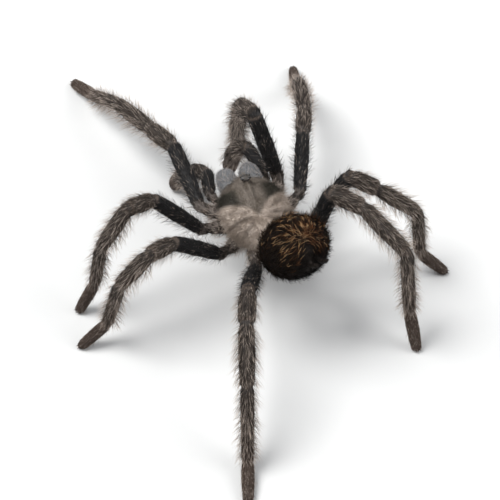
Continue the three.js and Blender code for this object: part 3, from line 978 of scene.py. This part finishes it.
def underside_coat(surface):
    """Short dark hair over the sternum and between the coxae."""
    count = len(surface.places)
    chosen = part_of(
        surface,
        is_kind(surface.found, "body"),
        ways=np.tile([0.0, 1.0, 0.0], (count, 1)),
        unwrap=(surface.places[:, :2] - BODY_MIDDLE[:2]) / 24 + 0.5,
        marks={**surface.marks, "light": np.full(count, 0.1)},
    )
    density = np.full(count, 9.0)
    grown("coat_underside", "underside", LIMB_COAT, SHORT_TUFT, chosen, density, UNDERSIDE_TUFT)


def abdomen_coat(surface):
    """Black underfur, and over it long bent hairs whose tips meet at the whorl, with a bare furrow below it;
    the furrow and the lower half are painted dark as shade.
    """
    found = surface.found
    places = surface.places
    away = np.linalg.norm(WHORL - places, axis=1)
    back, right, up = abdomen_places(places).T
    furrow_shade = shaded_furrow(places)
    above = smoothstep(-4.5, 0.5, up)
    lie = {
        "ways": unit(unit(WHORL - places) - 0.35 * smoothstep(3, -4, up)[:, None] * UP),
        "unwrap": np.stack([np.arctan2(right, up) / math.tau + 0.5, back / ABDOMEN_LENGTH], axis=1),
    }
    near = smoothstep(10.0, 3.0, away)
    right_side = smoothstep(0.2, 1.6, right - furrow_middle(up))
    parted = 0.55 + 0.45 * smoothstep(1.5, 4.0, away)
    marks = {
        "gold": 0.34 * near * above * parted * (1 - 0.5 * right_side),
        "rust": 0.5 * right_side * near + 0.25 * near,
        # painted shade: the furrow and the abdomen's lower half get soot-dark hair tips
        "dark": np.clip(1.2 * furrow_shade + 0.5 * (1 - above), 0, 1),
    }
    # The underfur is near black all over, and fully black along the furrow as painted shade.
    plain = {"gold": 0 * up, "rust": 0 * up, "dark": np.clip(0.9 + furrow_shade, 0, 1)}
    furred = part_of(surface, is_kind(found, "abdomen", "spinneret"), marks=plain, **lie)
    density = np.full(len(places), 11.0)
    length = (1.1 - 0.3 * furrow_shade) * (1 - 0.5 * is_kind(found, "spinneret"))
    sizes = (length, 0.1, 34.0, 26.0, 0)
    grown("underfur_abdomen", "abdomen", ABDOMEN_COAT, SHORT_TUFT, furred, density, sizes)
    chosen = part_of(surface, is_kind(found, "abdomen"), marks=marks, **lie)
    density = 8.4 * (1 - 0.97 * furrow_shade) * (0.5 + 0.5 * above)
    length = np.minimum(1.7 + 0.8 * near * above, 0.9 + 0.5 * away)
    lift = 64.0 - 28 * smoothstep(9, 2.5, away)
    curl = -0.3 * np.sign(right - 0.5) * near
    sizes = (length, 0.074, lift, 74.0, curl)
    chances = ("gold", "rust")
    grown("hairs_abdomen", "abdomen", ABDOMEN_COAT, LONG_TUFT, chosen, density, sizes, chances=chances)


# The carapace, the jaws and the smaller pieces.

FELT_DEPTH = 0.22  # how deep the felt is over the shell
LINE_DEPTH = 0.16  # how much deeper the shell lies in a pressed line
RIM_DROP = 0.75  # how far the plate's flat underside goes down into the body,
RIM_INWARD = 0.94  # and the share of its width that it keeps there
JAW_LENGTH = 5.5
JAW_DEPTH = 0.22  # how deep a jaw's skin lies under its coat
JAW_TUCK = (0, 1.3, -0.3)  # where the rear of a jaw goes: back under the carapace, and down
FANG_STRETCH = 1.03
FANG_TOP = 0.5  # how much of a fang is its root
FANG_LIFT = 0.6  # and how far that goes up into the jaw
# Eight eyes in two rows: how far each pair lies behind the mound's middle and to its sides, and its radius.
EYE_PAIRS = ((-0.42, 0.34, 0.27), (-0.3, 0.86, 0.25), (0.34, 0.58, 0.2), (0.3, 0.92, 0.24))
EYE_SUNK = 0.08  # how far an eye's middle lies under the mound's surface
MOUND_SHARE = 0.8  # how much of its node's height the mound takes
# A claw's length, width, lift, bend and curl.
CLAW = (0.75, 0.2, 22.0, 70.0, 0.1)
CLAW_INSIDE = 0.55  # how far before the tarsus's tip a claw starts,
CLAW_APART = 0.22  # how far to the side,
CLAW_UP = 0.15  # and how far above
CLAW_SPREAD = 0.18  # how much it points outwards


def plate_skin():
    """The shell plate over the front body, with its pressed lines."""
    form = of_nodes(["carapace"])
    flat = [vert for vert in form.verts if vert.co.z < (PLATE_RIM + 0.02) * MM]
    bmesh.ops.translate(form, verts=flat, vec=(0, 0, -RIM_DROP * MM))
    about = Matrix.Translation(-Vector((*PLATE_MIDDLE[:2], 0)) * MM)
    bmesh.ops.scale(form, verts=flat, vec=(RIM_INWARD, RIM_INWARD, 1), space=about)
    made = piece("carapace_shell", form, SHELL)
    surface = remeshed(made, PLATE_MESH)
    groove = plate_grooves(surface.places)
    top = smoothstep(0.0, 0.5, surface.normals[:, 2])
    surface = sunk(made, surface, (FELT_DEPTH + LINE_DEPTH * groove * top)[:, None])
    x, y = plate_places(surface.places)
    caput = smoothstep(0.7, -0.7, y - np.interp(np.abs(x), CAPUT_X, CAPUT_Y))
    surface.marks = {
        "groove": groove * top,
        "caput": 0.9 * caput,
        "olive": caput * smoothstep(1.4, 3.8, np.abs(x)) * smoothstep(-6.6, -5.0, y),
    }
    out = np.hypot(x, y - FOVEA_Y)
    turn = np.stack([x, y - FOVEA_Y], axis=1) / np.maximum(out, 0.5)[:, None]
    surface.marks["rays"] = np.column_stack([turn * 6.0, out * 0.35])
    note(made.data, surface.marks)
    surface.ways = unit(np.stack([x, y - FOVEA_Y, -0.3 * out], axis=1))
    settle(made, "carapace", "carapace")
    return surface


def plate_felt(surface):
    """Close felt over the plate, and a fringe of longer hairs round its edge."""
    x, y = plate_places(surface.places)
    surface.unwrap = np.stack([x / PLATE_HALF[0], y / PLATE_HALF[1]], axis=1) * 0.48 + 0.5
    showing = smoothstep(PLATE_RIM - 0.1, PLATE_RIM + 0.2, surface.places[:, 2])
    density = 46.0 * showing
    grown("felt_carapace", "carapace", FELT, SHORT_TUFT, surface, density, FELT_TUFT, varied=0.4)
    edge = showing * smoothstep(0.75, 0.95, np.hypot(x / PLATE_HALF[0], y / PLATE_HALF[1]))
    density = 0.7 * showing + 16.0 * edge
    sizes = (0.8 + 0.35 * edge, 0.055, 42.0, 20.0, 0)
    grown("fringe_carapace", "carapace", FELT, LONG_TUFT, surface, density, sizes, varied=0.4)


def chelicera(hand):
    """One jaw, tucked under the carapace's front edge, with its coat."""
    name = f"chelicera_{hand}"
    form = of_nodes([name])
    low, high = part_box(name)
    tucked = [vert for vert in form.verts if vert.co.y > high.y - 0.1 * MM]
    bmesh.ops.translate(form, verts=tucked, vec=[step * MM for step in JAW_TUCK])
    made = piece(f"{name}_skin", form, LIMB_SKIN)
    surface = remeshed(made, JAW_MESH)
    surface = sunk(made, surface, JAW_DEPTH)
    count = len(surface.places)
    found = survey(surface.places, [name] * count)
    forward = (high.y / MM - surface.places[:, 1]) / JAW_LENGTH
    down = -0.25 - 0.8 * np.clip(forward, 0, 1)
    surface.ways = unit(np.stack([0 * forward, -np.ones(count), down], axis=1))
    found.along = forward * JAW_LENGTH
    found.beside = surface.places[:, [0, 2]] - np.array((low + high) / 2)[[0, 2]] / MM
    surface.marks = {**marks_of(found, surface.normals), "flow": flow_of(found)}
    note(made.data, surface.marks)
    settle(made, "chelicerae", name)
    surface.marks["light"] = by_kind(found, PALE_SHARE, 0)
    surface.unwrap = limb_unwrap(found, JAW_LENGTH)
    under = smoothstep(-0.1, -0.7, surface.normals[:, 2])
    density = 33.0 - 8 * under
    sizes = (0.66 + 0.35 * under, 0.055, 42.0 + 8 * under, 24.0, 0)
    grown(f"coat_{name}", "chelicerae", LIMB_COAT, SHORT_TUFT, surface, density, sizes)


def fang(hand):
    """One fang, with its root inside the jaw."""
    name = f"fang_{hand}"
    form = of_nodes([name], stretch=FANG_STRETCH)
    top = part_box(name)[1].z
    root = [vert for vert in form.verts if vert.co.z > top - FANG_TOP * MM]
    bmesh.ops.translate(form, verts=root, vec=(0, 0, FANG_LIFT * MM))
    made = piece(f"{name}_horn", form, FANG_HORN)
    remeshed(made, FANG_MESH)
    settle(made, "fangs", name)


def eyes():
    """The eyes and the mound that they sit in."""
    low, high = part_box("eye_mound")
    middle = (low + high) / 2
    half = (high - low) / 2
    base = Vector((middle.x, middle.y, low.z - 0.1 * MM))
    form = bmesh.new()
    bmesh.ops.create_uvsphere(form, u_segments=24, v_segments=12, radius=1)
    rise = (high.z - low.z) * MOUND_SHARE
    bmesh.ops.scale(form, verts=form.verts, vec=(half.x, half.y, rise))
    bmesh.ops.translate(form, verts=form.verts, vec=base)
    mound = piece("eye_mound_skin", form, MOUND)
    settle(mound, "eyes", "eye_mound")
    form = bmesh.new()
    for behind, beside, radius in EYE_PAIRS:
        for hand in (1, -1):
            fall = (beside * MM / half.x) ** 2 * 0.5 + (behind * MM / half.y) ** 2 * 0.3
            height = base.z + rise * (1 - fall) - EYE_SUNK * MM
            place = Vector((middle.x + hand * beside * MM, middle.y + behind * MM, height))
            made = bmesh.ops.create_icosphere(form, subdivisions=3, radius=radius * MM)
            bmesh.ops.translate(form, verts=made["verts"], vec=place)
    glass = piece("eyes", form, EYE_GLASS)
    settle(glass, "eyes")
    rounded(mound.data)
    rounded(glass.data)


def claws():
    """Two small curved claws at the end of each tarsus."""
    length, width, lift, bend, curl = CLAW
    places, ways, curls = [], [], []
    for leg in LEGS:
        way = leg.ways[-1]
        side = unit(np.cross(way, [0, 0, 1.0]))
        for hand in (-1, 1):
            root = leg.joints[-1] - CLAW_INSIDE * way + hand * CLAW_APART * side
            places.append(root + [0, 0, CLAW_UP])
            ways.append(way + hand * CLAW_SPREAD * side)
            curls.append(hand * curl)
    count = len(places)
    roots = SimpleNamespace(
        places=np.array(places),
        normals=np.tile([0, 0, 1.0], (count, 1)),
        ways=np.array(ways),
        lengths=np.full(count, length),
        widths=np.full(count, width),
        lifts=np.full(count, lift),
        bends=np.full(count, bend),
        curls=np.array(curls),
    )
    form = tuft_form(6, 8)
    unwrap = np.stack([np.arange(count) / count, np.full(count, 0.5)], axis=1)
    settle(tufts("claws", FANG_HORN, form, roots, unwrap, {}), "fangs")


# The room.

FLOOR_GREY = (0.62, 0.62, 0.61)
FLOOR_HALF = 3  # metres
SKY = (0.93, 0.95, 1.0, 1)
SKY_STRENGTH = 0.55
# The camera's bearing and its height over the floor, in degrees, its distance, in metres, and its lens.
CAMERA_BEARING = 160.1
CAMERA_RISE = 51
CAMERA_DISTANCE = 0.569
CAMERA_LENS = 205
# How far to the left of the carapace's middle it looks, and how far below it, in millimetres.
LOOK_LEFT = 1.27
LOOK_BELOW = 3.79
MIDDLE_HEIGHT = 10  # how high over the floor that middle is taken


def aim(thing, place, target):
    thing.location = place
    thing.rotation_euler = (Vector(target) - Vector(place)).to_track_quat("-Z", "Y").to_euler()


def lamp(name, place, target, size, power):
    light = bpy.data.lights.new(name, "AREA")
    light.shape = "DISK"
    light.size = size
    light.energy = power
    aim(added(name, light), place, target)


def room():
    """A plain pale floor, soft lamps and the camera."""
    shop = Shop("floor", {"Roughness": 0.9, "Specular IOR Level": 0.1})
    floor = bmesh.new()
    bmesh.ops.create_grid(floor, x_segments=2, y_segments=2, size=FLOOR_HALF)
    made = piece("floor", floor, shop.paint(FLOOR_GREY))
    world = bpy.data.worlds.new("room")
    world.use_nodes = True
    sky = world.node_tree.nodes["Background"]
    sky.inputs["Color"].default_value = SKY
    sky.inputs["Strength"].default_value = SKY_STRENGTH
    bpy.context.scene.world = world
    middle = Vector((*PLATE_MIDDLE[:2], MIDDLE_HEIGHT)) * MM
    lamp("key", middle + Vector((0.35, -0.2, 0.75)), middle, size=0.55, power=9.0)
    lamp("fill", middle + Vector((-0.6, 0.3, 0.5)), middle, size=0.6, power=3.5)
    camera = added("camera", bpy.data.cameras.new("camera"))
    camera.data.lens = CAMERA_LENS
    camera.data.clip_start = 0.01
    bearing, rise = math.radians(CAMERA_BEARING), math.radians(CAMERA_RISE)
    level = math.cos(rise)
    toward = Vector((level * math.sin(bearing), -level * math.cos(bearing), math.sin(rise)))
    right = Vector((-toward.y, toward.x, 0)).normalized()
    upward = toward.cross(right)
    target = middle - right * LOOK_LEFT * MM - upward * LOOK_BELOW * MM
    aim(camera, middle + toward * CAMERA_DISTANCE, target)
    bpy.context.scene.camera = camera
    bpy.context.scene.view_settings.view_transform = "Standard"


def main():
    skin = body_skin()
    for leg in LEGS:
        limb_coat(leg, skin)
    underside_coat(skin)
    abdomen_coat(skin)
    for palp in PALPS:
        limb_coat(palp, palp_skin(palp))
    plate_felt(plate_skin())
    for hand in ("left", "right"):
        chelicera(hand)
        fang(hand)
    eyes()
    claws()
    room()


main()
